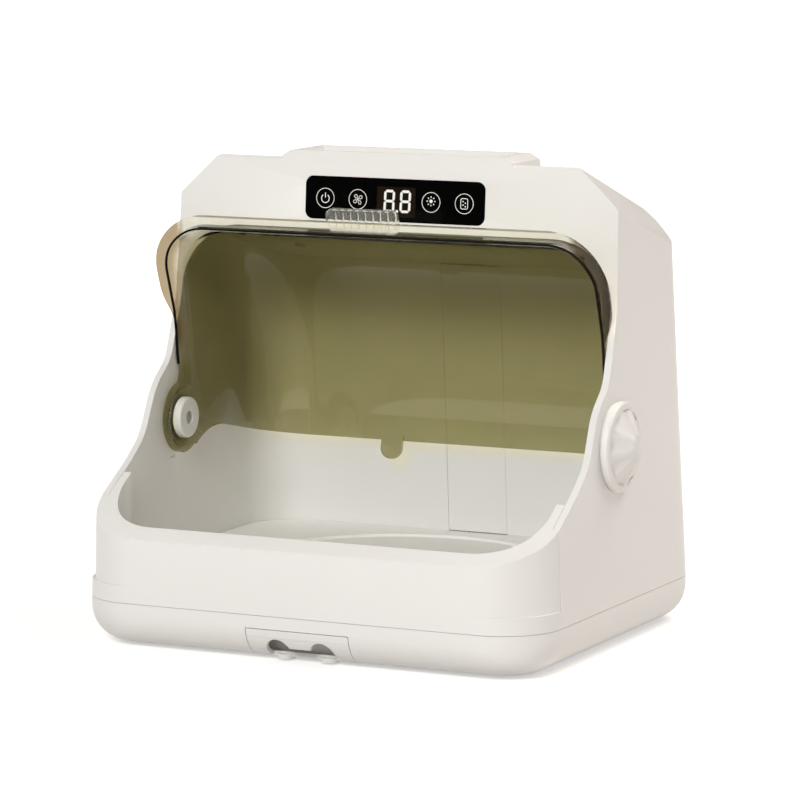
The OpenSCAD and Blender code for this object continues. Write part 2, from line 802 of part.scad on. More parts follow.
module uv_window() color(clear) on_roof() translate([0, uv_u, 0]) {
    translate([0, 0, ceil_v]) linear_extrude(ceil_t) square([uv_w - fit, uv_d - fit], center = true);
    translate([0, 0, ceil_top]) linear_extrude(uv_t)
        square([uv_w + 2 * uv_flange, uv_d + 2 * uv_flange], center = true);
}

module uv_board() color(board_green) on_roof() translate([0, uv_u, ceil_top + uv_t + uv_gap]) {
    linear_extrude(board_t) square([uv_w + 2 * uv_end, uv_d], center = true);
    for (i = [0:lamps - 1])
        translate([(i - (lamps - 1) / 2) * uv_w / lamps, 0, -lamp_t])
            linear_extrude(lamp_t) square(lamp_w, center = true);
}

module main_board() color(board_green) translate([board_x, board_y, main_z]) {
    cube([main_w, main_d, board_t]);
    for (p = main_blocks)
        translate([p[0] * main_w, p[1] * main_d, board_t])
            cube([p[2] * main_w, p[3] * main_d, p[4] * main_h]);
    for (x = main_cans) translate([x[0] * main_w, x[1] * main_d, board_t]) cylinder(r = can_r, h = main_h);
}

module power_inlet() color(black_gloss) on_back(inlet_z, 0) translate([inlet_x, 0, 0]) {
    socket_floor = inlet_rim - inlet_depth;
    difference() {
        union() {
            along_y(-inlet_depth, -inlet_flange / 2) square([inlet_w, inlet_h], center = true);
            along_y(-inlet_flange, 0) round_rect(inlet_w + inlet_rim, inlet_h + inlet_rim, inlet_rim);
        }
        along_y(socket_floor, 1) {
            for (s = [-1, 1]) translate([s * pin_gap / 2, 0]) circle(socket_r);
            square([pin_gap, 1.3 * socket_r], center = true);
        }
    }
    for (s = [-1, 1])
        translate([s * pin_gap / 2, socket_floor - 1, 0]) rotate([-90, 0, 0]) cylinder(r = pin_r, h = pin_l);
}

module scroll_form(in) {
    translate([fan_x, fan_y, scroll_z + in]) cylinder(r = scroll_r - in, h = scroll_h - 2 * in);
    translate([fan_x, outlet_y + in, scroll_z + in])
        cube([outlet_x - fan_x + (in > 0 ? 1 : 0), outlet_w - 2 * in, scroll_h - 2 * in]);
}

module blower_scroll() color(grey_plastic) difference() {
    scroll_form(0);
    scroll_form(scroll_t);
    translate([fan_x, fan_y, scroll_z - 1]) cylinder(r = inlet_r, h = scroll_t + 2);
    translate([fan_x, fan_y, scroll_top - scroll_t - 1]) cylinder(r = hub_r + 1, h = scroll_t + 2);
}

module blower_motor() color(steel) translate([fan_x, fan_y, scroll_top]) difference() {
    cylinder(r = motor_r, h = motor_h);
    translate([0, 0, -1]) cylinder(r = spindle_r + slip, h = motor_h - 1);
}

module motor_shaft() color(steel) translate([fan_x, fan_y, wheel_z + 2])
    cylinder(r = spindle_r, h = scroll_top + motor_h - 2 - slip - wheel_z - 2);

module blower_wheel() color(black_gloss) translate([fan_x, fan_y, wheel_z]) {
    plate = 1.6;
    difference() {
        union() {
            translate([0, 0, wheel_h - plate]) cylinder(r = wheel_r, h = plate);
            cylinder(r = hub_r, h = wheel_h);
            difference() {
                cylinder(r = wheel_r, h = plate);
                translate([0, 0, -1]) cylinder(r = wheel_r - blade_l / 2, h = plate + 2);
            }
            for (i = [0:blades - 1])
                rotate([0, 0, i * 360 / blades]) translate([wheel_r - blade_l, 0, 0])
                    rotate([0, 0, 20]) cube([blade_l - 0.8, blade_t, wheel_h - plate / 2]);
        }
        translate([0, 0, -1]) cylinder(r = spindle_r + slip, h = wheel_h + 2);
    }
}

module heater_duct() color(grey_plastic) difference() {
    duct_top = floor_low;
    translate([outlet_x, outlet_y, scroll_z]) cube([duct_len, outlet_w, duct_top - scroll_z]);
    translate([outlet_x - 1, outlet_y + scroll_t, scroll_z + scroll_t])
        cube([duct_len + 1 - scroll_t, outlet_w - 2 * scroll_t, scroll_h - 2 * scroll_t]);
    slab_at(vent_x, vent_w - 2 * scroll_t, outlet_y + scroll_t, outlet_y + outlet_w - scroll_t,
        scroll_z + scroll_t, duct_top + 1);
}

module heater_core() color(ceramic) {
    core_w = outlet_w - 2 * scroll_t;
    core_h = scroll_h - 2 * scroll_t;
    fins = 8;
    translate([outlet_x - core_in, outlet_y + scroll_t, scroll_z + scroll_t]) {
        for (i = [0:2]) translate([0, 0, i * (core_h - core_bar) / 2]) cube([core_l, core_w, core_bar]);
        for (i = [0:fins]) translate([0, i * (core_w - fin_t) / fins, 0]) cube([core_l, fin_t, core_h]);
    }
}

module air_filter() color(foam) translate([fan_x, fan_y, filter_z]) cylinder(r = filter_r, h = filter_t);

module filter_cover() color(white_abs) translate([fan_x, fan_y, base_lift]) difference() {
    cylinder(r = cover_r, h = cover_t);
    for (i = [-3:3]) {
        half = sqrt(pow(filter_r - slot_w, 2) - pow(i * slot_pitch, 2));
        translate([-half, i * slot_pitch - slot_w / 2, -1]) cube([2 * half, slot_w, cover_t + 2]);
    }
}

module pivot_bush(s) color(grey_plastic) at_side(s) difference() {
    union() {
        translate([0, 0, ear_out + fit]) cylinder(r = bush_r, h = pad_out - ear_out - fit);
        translate([0, 0, pad_out - flange_t]) cylinder(r = bush_r + flange_w, h = flange_t);
    }
    translate([0, 0, ear_out]) cylinder(r = shaft_r + slip, h = pad_out);
}
module pivot_bush_left() pivot_bush(-1);
module pivot_bush_right() pivot_bush(1);

// The visor's section: flanks, round corners and drum, grown on the drum and at the sides
module drum_outline(up, side, c) {
    r = visor_r + up;
    half = visor_half + side;
    translate([0, c - half]) square([r, 2 * (half - c)]);
    translate([0, -half]) square([r - c, 2 * half]);
    for (s = [-1, 1]) translate([r - c, s * (half - c)]) circle(c);
}

// The outline of the flared front edge, at an offset outwards
module rim_outline(k) drum_outline(flare_up + k, flare_side + k, rim_corner + k);

// The outline of the lip, which narrows down the flanks
module lip_outline(k) intersection() {
    far = [2 * visor_r, 1];
    steps = concat(lip_course, [far]);
    last = len(steps) - 1;
    half = visor_half + flare_side + k;
    drum_outline(flare_up + lip_w + k, flare_side + lip_side + k, rim_corner + lip_w);
    polygon(concat(
        [for (i = [0:last]) [steps[i][0], half + steps[i][1] * lip_side]],
        [for (i = [last:-1:0]) [steps[i][0], -half - steps[i][1] * lip_side]]));
}

// Draws in the plane of the front edge, from one distance behind it to another
module in_edge() about_pivot() rotate([0, 0, lip_angle]) children();
module at_edge(y0, y1)
    in_edge() translate([0, y1, 0]) rotate([90, 0, 0]) linear_extrude(y1 - y0) children();

// A band along the front edge, which falls back towards the pivot as the side walls rise
function edge_back(r) = lookup(r, edge_course);
module edge_band(y0, y1) {
    steps = concat([0], [for (p = edge_course) p[0]], [2 * visor_r]);
    last = len(steps) - 1;
    in_edge() linear_extrude(2 * body_w, center = true)
        polygon(concat([for (i = [0:last]) [steps[i], y0 - edge_back(steps[i])]],
            [for (i = [last:-1:0]) [steps[i], y1 - edge_back(steps[i])]]));
}

// The flared end of the drum, at an offset inwards, whose rear end lies inside the drum's wall
module flare_form(in) {
    root = in > 0 ? in - skin : flare_root;
    hull() {
        at_edge(-flare_back - fit - in, -flare_back)
            drum_outline(flare_drop - root, -root, visor_corner - root);
        at_edge(-lip_gap - flare_flat, -lip_gap + in) rim_outline(-in);
    }
}

// The soft corner between a round ear and a straight edge, with a root behind the edge
module ear_fillet(r, root) {
    run = sqrt(ear_r * ear_r + 2 * ear_r * r);
    difference() {
        polygon([[0, root], [run, root], [run, -r], [0, 0]]);
        translate([run, -r]) circle(r);
    }
}

module visor_flank(s)
    about_pivot() mirror([0, 0, s > 0 ? 0 : 1]) {
        translate([0, 0, visor_half - visor_t]) linear_extrude(visor_t)
            rotate(tail_angle) ear_fillet(tail_r, 0);
        translate([0, 0, visor_half + flare_side - visor_t + skin]) linear_extrude(visor_t - 2 * skin)
            rotate(lip_angle) mirror([0, 1]) translate([0, lip_gap + edge_back(ear_r)])
                ear_fillet(nose_r, lip_t);
    }

module visor_ear(s) at_side(s) translate([0, 0, ear_in]) cylinder(r = ear_r, h = ear_out - ear_in);

module visor_tongue() {
    straight = tongue_l - tongue_w / 2;
    about_pivot() rotate([0, 0, tail_angle]) translate([visor_r - visor_t, 0, tongue_x])
        rotate([90, 0, 90]) linear_extrude(visor_t + tongue_rise) {
            translate([-straight, -tongue_w / 2]) square([straight + tongue_root, tongue_w]);
            translate([-straight, 0]) circle(tongue_w / 2);
        }
}

module visor() color(smoke) difference() {
    union() {
        difference() {
            about_pivot() rotate([0, 0, tail_angle]) rotate_extrude(angle = lip_angle - tail_angle)
                difference() {
                    drum_outline(0, 0, visor_corner);
                    drum_outline(-visor_t, -visor_t, visor_corner - visor_t);
                    translate([0, -visor_half - 1]) square([ear_r / 2, 2 * visor_half + 2]);
                }
            in_edge() translate([0, -flare_back, -body_w]) cube([2 * visor_r, visor_r, 2 * body_w]);
        }
        difference() {
            flare_form(0);
            flare_form(visor_t);
            edge_band(-lip_gap, reach);
        }
        intersection() {
            edge_band(-lip_gap - lip_t, -lip_gap);
            at_edge(-reach, reach) difference() {
                lip_outline(0);
                rim_outline(-visor_t / 2);
                translate([0, -body_w]) square([lip_start, 2 * body_w]);
            }
        }
        for (s = [-1, 1]) {
            visor_flank(s);
            visor_ear(s);
        }
        visor_tongue();
    }
    for (s = [-1, 1]) at_side(s) {
        translate([0, 0, cup_floor - cup_depth]) cylinder(r = ear_r - ear_wall, h = cup_depth);
        cylinder(r = shaft_r + slip, h = body_w);
    }
}

module visor_seal() color(rubber) intersection() {
    edge_band(-lip_gap, seal_t - lip_gap);
    at_edge(-reach, reach) difference() {
        rim_outline(0);
        rim_outline(-seal_w);
        translate([0, -body_w]) square([sqrt(ear_r * ear_r + 2 * ear_r * nose_r) + 2, 2 * body_w]);
    }
}

module visor_grip() color(clear) {
    base_r = visor_r + flare_up + fit;
    tip_r = visor_r + flare_up + lip_w + grip_reach;
    back = -lip_gap - lip_t - grip_t;
    end = 4;
    pitch = (grip_w - 2 * end) / (grip_ribs - 1);
    difference() {
        at_edge(back, -lip_gap) translate([(base_r + tip_r) / 2, grip_x])
            round_rect(tip_r - base_r, grip_w, end);
        at_edge(-lip_gap - lip_t, -lip_gap + 1) lip_outline(slip);
    }
    for (i = [0:grip_ribs - 1])
        at_edge(back - rib_h, back + grip_t / 2)
            translate([base_r + end / 2, grip_x - grip_w / 2 + end + i * pitch - rib_t / 2])
                square([tip_r - base_r - end, rib_t]);
}

module pivot_knob(s) color(white_abs) at_side(s) difference() {
    rim_h = 5;
    edge_r = 2.5;
    hub_r = knob_r / 4;
    well_r = knob_r - knob_rim;
    slope = atan2(knob_h - rim_h, well_r - hub_r);
    hub_end = flute_axis(hub_r, knob_h, slope, 0.3);
    rim_end = flute_axis(well_r, rim_h, slope, 2.4);
    course = rim_end - hub_end;
    union() {
        translate([0, 0, knob_in]) rotate_extrude() {
            square([knob_r, rim_h - edge_r]);
            translate([knob_r - edge_r, rim_h - edge_r]) circle(edge_r, $fn = 32);
            polygon([[0, 0], [knob_r - edge_r, 0], [knob_r - edge_r, rim_h], [well_r, rim_h],
                [hub_r, knob_h], [0, knob_h]]);
        }
        translate([0, 0, cup_floor]) cylinder(r = shaft_r, h = knob_in - cup_floor + 1);
    }
    intersection() {
        for (i = [0:knob_flutes - 1])
            rotate([0, 0, (i + 0.5) * 360 / knob_flutes])
                translate([hub_end.x, 0, knob_in + hub_end.y])
                    rotate([0, 90 - atan2(course.y, course.x), 0])
                        cylinder(r1 = flute_r(hub_r, 0.3), r2 = flute_r(well_r, 2.4), h = norm(course));
        translate([0, 0, knob_in]) cylinder(r = well_r, h = 3 * knob_h);
    }
    translate([0, 0, cup_floor - 1]) cylinder(r = screw_r + slip, h = screw_grip + 2);
}
// Radius of a flute that meets its neighbours at radius r when it is cut d deep
function flute_r(r, d) = (pow(r * sin(180 / knob_flutes), 2) + d * d) / (2 * d);
// Point of a flute's axis over the knob's slope at radius r and height h
function flute_axis(r, h, slope, d) =
    [r, h] + (flute_r(r, d) - d) * [sin(slope), cos(slope)];
module pivot_knob_left() pivot_knob(-1);
module pivot_knob_right() pivot_knob(1);

module pivot_button(s) color(white_abs) at_side(s) {
    thick = cup_floor - ear_in + button_proud;
    edge = 1.5;
    difference() {
        translate([0, 0, cup_floor - thick]) rotate_extrude() {
            translate([0, edge]) square([button_r, thick - edge]);
            square([button_r - edge, edge + 1]);
            translate([button_r - edge, edge]) circle(edge, $fn = 32);
        }
        translate([0, 0, cup_floor - thick - 1]) cylinder(r = screw_head_r + 1, h = 1 + thick / 2);
        translate([0, 0, cup_floor - thick]) cylinder(r = screw_r + slip, h = thick + 1);
    }
}
module pivot_button_left() pivot_button(-1);
module pivot_button_right() pivot_button(1);

module pivot_screws() color(steel) for (s = [-1, 1]) at_side(s) {
    thick = cup_floor - ear_in + button_proud;
    head = thick / 3;
    translate([0, 0, cup_floor - thick / 2 - head]) cylinder(r = screw_head_r, h = head);
    translate([0, 0, cup_floor - thick / 2]) cylinder(r = screw_r, h = thick / 2 + screw_grip);
}

module finger_cut() along_y(front_y - reach, front_y + finger_in) {
    for (s = [-1, 1]) translate([s * finger_gap / 2, 0]) {
        translate([0, finger_h - finger_r]) circle(finger_r);
        translate([-finger_r, -reach]) square([2 * finger_r, reach + finger_h - finger_r]);
    }
    translate([-finger_gap / 2, -reach]) square([finger_gap, reach + finger_neck]);
}

module water_tray() color(white_abs) {
    top = drawer_h - drawer_gap;
    low = pan_floor + fit;
    difference() {
        union() {
            intersection() {
                base_form(0, split_h);
                slab(2 * drawer_half, front_y - reach, drawer_front - drawer_gap, -1, top);
            }
            slab(2 * drawer_half, drawer_front - 2 * drawer_gap, drawer_back, low, top);
        }
        intersection() {
            base_form(fascia_t, split_h);
            slab(2 * (drawer_half - drawer_t), front_y - reach, drawer_front - drawer_t, -1, top - drawer_t);
        }
        slab(2 * (drawer_half - drawer_t), drawer_front + drawer_t, drawer_back - drawer_t,
            low + drawer_t, top + 1);
        finger_cut();
    }
    for (s = [-1, 1])
        translate([s * finger_gap / 2, drawer_front - bump_r, base_lift])
            cylinder(r = bump_r, h = fascia_t + fit);
}

module feet() color(rubber) for (sx = [-1, 1], sy = [-1, 1])
    translate([sx * foot_x, sy * foot_y, 0]) cylinder(r = foot_r, h = base_lift + foot_seat);

module base_screws() color(steel) at_posts() {
    translate([0, 0, post_head - screw_head_h]) cylinder(r = screw_head_r, h = screw_head_h);
    translate([0, 0, post_head]) cylinder(r = screw_r, h = split_h + screw_grip - post_head);
}

module ceiling_screws() color(steel) at_ceiling_bosses() {
    translate([0, 0, ceil_v - screw_head_h / 2]) cylinder(r = screw_head_r, h = screw_head_h / 2);
    translate([0, 0, ceil_v]) cylinder(r = screw_r, h = ceil_t + screw_grip);
}

housing();
front_apron();
base_pan();
floor_plate();
air_grille();
ceiling_panel();
duct_cover();
panel_cable();
control_lens();
display_module();
control_board();
touch_springs();
interlock_switch();
uv_window();
uv_board();
main_board();
power_inlet();
blower_scroll();
blower_motor();
motor_shaft();
blower_wheel();
heater_duct();
heater_core();
air_filter();
filter_cover();
pivot_bush_left();
pivot_bush_right();
visor();
visor_seal();
visor_grip();
pivot_knob_left();
pivot_knob_right();
pivot_button_left();
pivot_button_right();
pivot_screws();
water_tray();
feet();
base_screws();
ceiling_screws();
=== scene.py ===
# Bottle sterilizing cabinet: finishes, printed marks, light and camera
import math

import bmesh
import bpy
from mathutils import Matrix, Vector


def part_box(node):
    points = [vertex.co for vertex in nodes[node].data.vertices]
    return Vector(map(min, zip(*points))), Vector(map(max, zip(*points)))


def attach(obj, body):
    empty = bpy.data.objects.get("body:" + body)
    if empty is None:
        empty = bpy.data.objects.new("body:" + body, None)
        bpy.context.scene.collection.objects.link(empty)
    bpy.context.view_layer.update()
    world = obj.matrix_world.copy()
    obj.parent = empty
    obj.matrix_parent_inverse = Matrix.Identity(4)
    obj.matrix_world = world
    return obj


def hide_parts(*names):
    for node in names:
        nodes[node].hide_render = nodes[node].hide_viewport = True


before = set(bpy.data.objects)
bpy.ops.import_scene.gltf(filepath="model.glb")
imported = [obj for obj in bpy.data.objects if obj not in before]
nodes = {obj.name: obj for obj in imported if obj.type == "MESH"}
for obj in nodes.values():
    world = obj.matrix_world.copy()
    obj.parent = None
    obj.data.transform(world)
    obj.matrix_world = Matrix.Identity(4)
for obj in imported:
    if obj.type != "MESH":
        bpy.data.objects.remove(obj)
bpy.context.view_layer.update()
mm = 0.001
print("frame loaded with", len(nodes), "nodes")


# sRGB hex to linear colour
def hexColour(code):
    parts = [int(code[i:i + 2], 16) / 255 for i in (0, 2, 4)]
    return [p / 12.92 if p <= 0.04045 else ((p + 0.055) / 1.055) ** 2.4 for p in parts] + [1.0]


# One node with its socket values and its links, which are given as (node, output)
def addNode(material, kind, values=None, links=None, **settings):
    node = material.node_tree.nodes.new(kind)
    for key, value in settings.items():
        setattr(node, key, value)
    for key, value in (values or {}).items():
        node.inputs[key].default_value = value
    for key, (source, output) in (links or {}).items():
        material.node_tree.links.new(source.outputs[output], node.inputs[key])
    return node


def newMaterial(name):
    material = bpy.data.materials.new(name)
    material.use_nodes = True
    material.node_tree.nodes.clear()
    return material


# What all finishes share: noise detail, the part of the noise that is used, bump depth as a
# share of the grain, and the clear coat
finishBase = dict(mottleDetail=3.0, grainDetail=2.0, noiseRange=(0.3, 0.7), bumpDepth=0.2,
                  coatRough=0.03, coatIor=1.5)


# Base of every finish: mottle in the colour, change in the gloss, grain in the bump
def mouldedFinish(name, look):
    material = newMaterial(name)
    place = addNode(material, "ShaderNodeTexCoord")
    mottle = addNode(material, "ShaderNodeTexNoise",
                     {"Scale": 1 / (look["mottle"] * mm), "Detail": finishBase["mottleDetail"]},
                     {"Vector": (place, "Object")})
    grain = addNode(material, "ShaderNodeTexNoise",
                    {"Scale": 1 / (look["grain"] * mm), "Detail": finishBase["grainDetail"]},
                    {"Vector": (place, "Object")})
    colour = addNode(material, "ShaderNodeMix", {"A": hexColour(look["dark"]), "B": hexColour(look["light"])},
                     {"Factor": (mottle, "Fac")}, data_type="RGBA")
    gloss = addNode(material, "ShaderNodeMapRange",
                    {"From Min": finishBase["noiseRange"][0], "From Max": finishBase["noiseRange"][1],
                     "To Min": look["rough"][0], "To Max": look["rough"][1]},
                    {"Value": (mottle, "Fac")})
    bump = addNode(material, "ShaderNodeBump",
                   {"Strength": look["bump"], "Distance": look["grain"] * mm * finishBase["bumpDepth"]},
                   {"Height": (grain, "Fac")})
    shader = addNode(material, "ShaderNodeBsdfPrincipled",
                     {"IOR": look.get("ior", 1.5), "Metallic": look.get("metal", 0.0),
                      "Specular IOR Level": look.get("specular", 0.5), "Coat Weight": look.get("coat", 0.0),
                      "Coat Roughness": finishBase["coatRough"], "Coat IOR": finishBase["coatIor"],
                      "Transmission Weight": look.get("through", 0.0)},
                     {"Base Color": (colour, "Result"), "Roughness": (gloss, "Result"),
                      "Normal": (bump, "Normal")})
    surface = (shader, "BSDF")
    if "shadow" in look:  # thin clear plastic throws a tinted shadow, not a black one
        path = addNode(material, "ShaderNodeLightPath")
        tint = addNode(material, "ShaderNodeBsdfTransparent", {"Color": hexColour(look["shadow"])})
        surface = (addNode(material, "ShaderNodeMixShader",
                           links={0: (path, "Is Shadow Ray"), 1: surface, 2: (tint, 0)}), 0)
    addNode(material, "ShaderNodeOutputMaterial", links={"Surface": surface})
    return material


finishes = {
    # Sizes of mottle and grain are in mm
    # Warm white ABS, moulded with a fine spark grain: satin
    "whiteAbs": dict(dark="ECEBE8", light="F1F0ED", mottle=140, grain=1.6, rough=(0.36, 0.44), bump=0.05,
                     ior=1.53),
    # White polypropylene of the chamber floor, a little paler than the shell
    "whitePolypropylene": dict(dark="F8F7F4", light="FCFBF9", mottle=140, grain=1.6, rough=(0.36, 0.44), bump=0.05,
                               ior=1.49),
    # Smoke-tinted polycarbonate, moulded thin in a polished tool: glossy, with an olive darker than its own tint,
    # which is painted shade of the chamber seen through it.
    # The IOR is far under the real one, which gives dark wedges in the double walls, and the coat gives the gloss
    "smokeTintAndShade": dict(dark="ABA784", light="B0AC8A", mottle=90, grain=9, rough=(0.02, 0.05), bump=0.002,
                               ior=1.02, coat=0.6, through=1.0, shadow="E8E5DA"),
    # Clear acrylic, moulded: almost no colour of its own, a little milky, IOR lowered as above
    "clearAcrylic": dict(dark="EFEFE8", light="F6F6F0", mottle=40, grain=6, rough=(0.02, 0.06), bump=0.02,
                         ior=1.04, coat=0.2, through=0.92, shadow="F8F8F6"),
    # Black back-printed acrylic: deep and glossy
    "blackAcrylic": dict(dark="020202", light="040404", mottle=50, grain=8, rough=(0.06, 0.1), bump=0.01, ior=1.49,
                         specular=0.05),
    # Brown filter film of the display, seen through the lens
    "displayFilm": dict(dark="1A130B", light="221A10", mottle=9, grain=5, rough=(0.1, 0.16), bump=0.01, ior=1.49,
                        specular=0.05),
    # White print under the lens
    "whitePrint": dict(dark="F2F2F0", light="FAFAF8", mottle=6, grain=2, rough=(0.3, 0.4), bump=0.01, ior=1.5),
    # Black silicone rubber, moulded: matte with next to no sheen
    "blackRubber": dict(dark="070707", light="0D0D0D", mottle=20, grain=1.5, rough=(0.55, 0.7), bump=0.1,
                        ior=1.43, specular=0.1),
    # Black polyamide, moulded with a coarse grain
    "blackPolyamide": dict(dark="101010", light="191919", mottle=25, grain=1.5, rough=(0.45, 0.6), bump=0.12,
                           ior=1.53),
    # Grey acetal, moulded: plain and a little waxy
    "greyAcetal": dict(dark="8E8E8C", light="9A9A98", mottle=30, grain=1.6, rough=(0.4, 0.5), bump=0.06, ior=1.48),
    # Green solder mask over glass fibre
    "solderMask": dict(dark="15452A", light="1E5A37", mottle=8, grain=1.2, rough=(0.25, 0.4), bump=0.08, ior=1.55),
    # Zinc-plated steel, rolled and cut: bright with a soft grain
    "platedSteel": dict(dark="A9ABAD", light="C3C5C7", mottle=7, grain=1.2, rough=(0.25, 0.38), bump=0.05,
                        metal=1.0),
    # Heater stone with aluminium fins, dull
    "heaterStone": dict(dark="A8895B", light="BD9C6B", mottle=6, grain=1.4, rough=(0.5, 0.65), bump=0.1, ior=1.6),
    # Open-cell polyester foam, charcoal
    "filterFoam": dict(dark="1F2022", light="3A3B3E", mottle=3, grain=1.8, rough=(0.8, 0.95), bump=0.5, ior=1.4),
}
materials = {name: mouldedFinish(name, look) for name, look in finishes.items()}

# The visor's flared edge shows a light tint and its side wings are browner. The drum's darker olive is partly the
# smoke tint and partly painted shade of the chamber behind it, and the lip's outer edge is painted darker as a
# painted reflection. Lengths in mm from the pivot's axis.
visorTint = dict(flare="FBF9F0", flareShadow="FFFFFF", wing="A08F70", lipEdgeReflection="8F8A70",
                 pivot=(0, -6, 145), lean=102.4, flareDepth=(9, 24), earClear=(35, 60),
                 wingSide=(151, 157), lipReach=(153.9, 154.4))


def tintByPlace(material, tint):
    finishNodes = {n.type: n for n in material.node_tree.nodes}
    shader, clear = finishNodes["BSDF_PRINCIPLED"], finishNodes["BSDF_TRANSPARENT"]
    drum = shader.inputs["Base Color"].links[0].from_node
    lean = math.radians(tint["lean"])
    place = addNode(material, "ShaderNodeTexCoord")
    arm = addNode(material, "ShaderNodeVectorMath", {1: [c * mm for c in tint["pivot"]]}, {0: (place, "Object")},
                  operation="SUBTRACT")
    behind = addNode(material, "ShaderNodeVectorMath", {1: (0, math.sin(lean), -math.cos(lean))}, {0: (arm, 0)},
                     operation="DOT_PRODUCT")
    across = addNode(material, "ShaderNodeVectorMath", {1: (0, 1, 1)}, {0: (arm, 0)}, operation="MULTIPLY")
    radius = addNode(material, "ShaderNodeVectorMath", links={0: (across, 0)}, operation="LENGTH")
    axis = addNode(material, "ShaderNodeSeparateXYZ", links={0: (arm, 0)})
    side = addNode(material, "ShaderNodeMath", links={0: (axis, "X")}, operation="ABSOLUTE")

    def ramp(source, output, limits, low=0.0, high=1.0):
        return addNode(material, "ShaderNodeMapRange",
                       {"From Min": limits[0] * mm, "From Max": limits[1] * mm, "To Min": low, "To Max": high},
                       {"Value": (source, output)})

    def product(a, b):
        return addNode(material, "ShaderNodeMath", links={0: (a, 0), 1: (b, 0)}, operation="MULTIPLY")

    def tinted(amount, below, colour):
        return addNode(material, "ShaderNodeMix", {"B": hexColour(colour)},
                       {"Factor": (amount, 0), "A": (below, "Result")}, data_type="RGBA")

    onFlare = product(ramp(behind, "Value", tint["flareDepth"], 1.0, 0.0),
                      ramp(radius, "Value", tint["earClear"]))
    onWing = product(onFlare, ramp(side, 0, tint["wingSide"]))
    colour = tinted(onWing, tinted(onFlare, drum, tint["flare"]), tint["wing"])
    # the lip's outer edge is painted darker than the tint: a painted reflection
    colour = tinted(ramp(radius, "Value", tint["lipReach"]), colour, tint["lipEdgeReflection"])
    shade = addNode(material, "ShaderNodeMix",
                    {"A": list(clear.inputs["Color"].default_value), "B": hexColour(tint["flareShadow"])},
                    {"Factor": (onFlare, 0)}, data_type="RGBA")
    material.node_tree.links.new(colour.outputs["Result"], shader.inputs["Base Color"])
    material.node_tree.links.new(shade.outputs["Result"], clear.inputs["Color"])


tintByPlace(materials["smokeTintAndShade"], visorTint)
print("finishes ready:", len(materials))


def dress(obj, material):
    obj.data.materials.clear()
    obj.data.materials.append(materials[material])


# Ends a new piece: its mesh, finish and body
def endPiece(bm, name, material, body, smoothAngle=35):
    mesh = bpy.data.meshes.new(name)
    bm.to_mesh(mesh)
    bm.free()
    mesh.polygons.foreach_set("use_smooth", [True] * len(mesh.polygons))
    mesh.set_sharp_from_angle(angle=math.radians(smoothAngle))
    obj = bpy.data.objects.new(name, mesh)
    bpy.context.scene.collection.objects.link(obj)
    dress(obj, material)
    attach(obj, body)
    return obj


# Weld distance in mm, and angles in degrees under which faces are flat and edges stay unrounded
rounding = dict(weld=0.004, flat=0.4, angle=32, segments=2, profile=0.5)


# A merged copy of a CAD node whose moulded edges are rounded off; clear pieces keep theirs
def softEdged(node, name, material, body, edge):
    bm = bmesh.new()
    bm.from_mesh(nodes[node].data)
    bmesh.ops.remove_doubles(bm, verts=bm.verts, dist=rounding["weld"] * mm)
    if edge > 0:
        bmesh.ops.dissolve_limit(bm, angle_limit=math.radians(rounding["flat"]), verts=bm.verts, edges=bm.edges)
    piece = endPiece(bm, name, material, body, rounding["angle"])
    if edge > 0:
        bevel = piece.modifiers.new("edge", "BEVEL")
        bevel.width = edge * mm
        bevel.segments = rounding["segments"]
        bevel.limit_method = "ANGLE"
        bevel.angle_limit = math.radians(rounding["angle"])
        bevel.profile = rounding["profile"]
        bevel.harden_normals = True
    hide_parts(node)


shells = {
    # node: new name, finish, slot, body, edge radius in mm
    "housing": ("housingShell", "whiteAbs", "white_abs", "cabinet", 0.9),
    "front_apron": ("apronShell", "whiteAbs", "white_abs", "cabinet", 1.2),
    "base_pan": ("baseShell", "whiteAbs", "white_abs", "cabinet", 0.5),
    "floor_plate": ("chamberFloor", "whitePolypropylene", "white_abs", "cabinet", 0.6),
    "ceiling_panel": ("chamberCeiling", "whiteAbs", "white_abs", "cabinet", 0.4),
    "duct_cover": ("ductStrip", "whiteAbs", "white_abs", "cabinet", 0.3),
    "water_tray": ("trayDrawer", "whiteAbs", "white_abs", "tray", 0.5),
    "visor": ("visorMoulding", "smokeTintAndShade", "smoke_plastic", "visor_assembly", 0),
    "visor_grip": ("visorGrip", "clearAcrylic", "clear_plastic", "visor_assembly", 0),
    "visor_seal": ("visorSeal", "blackRubber", "seal_rubber", "visor_assembly", 0.4),
    "pivot_knob_left": ("knobLeft", "whiteAbs", "white_abs", "visor_assembly", 0.3),
    "pivot_knob_right": ("knobRight", "whiteAbs", "white_abs", "visor_assembly", 0.3),
    "pivot_button_left": ("buttonLeft", "whiteAbs", "white_abs", "visor_assembly", 0.3),
    "pivot_button_right": ("buttonRight", "whiteAbs", "white_abs", "visor_assembly", 0.3),
    "control_lens": ("controlLens", "blackAcrylic", "black_acrylic", "cabinet", 0.25),
    "power_inlet": ("powerInlet", "blackPolyamide", "black_plastic", "cabinet", 0.3),
    "feet": ("rubberFeet", "blackRubber", "seal_rubber", "cabinet", 0.5),
    "filter_cover": ("filterCover", "whiteAbs", "white_abs", "cabinet", 0.3),
    "air_grille": ("airGrille", "whitePolypropylene", "white_abs", "cabinet", 0.3),
}
for node, (name, material, slot, body, edge) in shells.items():
    softEdged(node, name, material, body, edge)
print("shells rounded off:", len(shells))

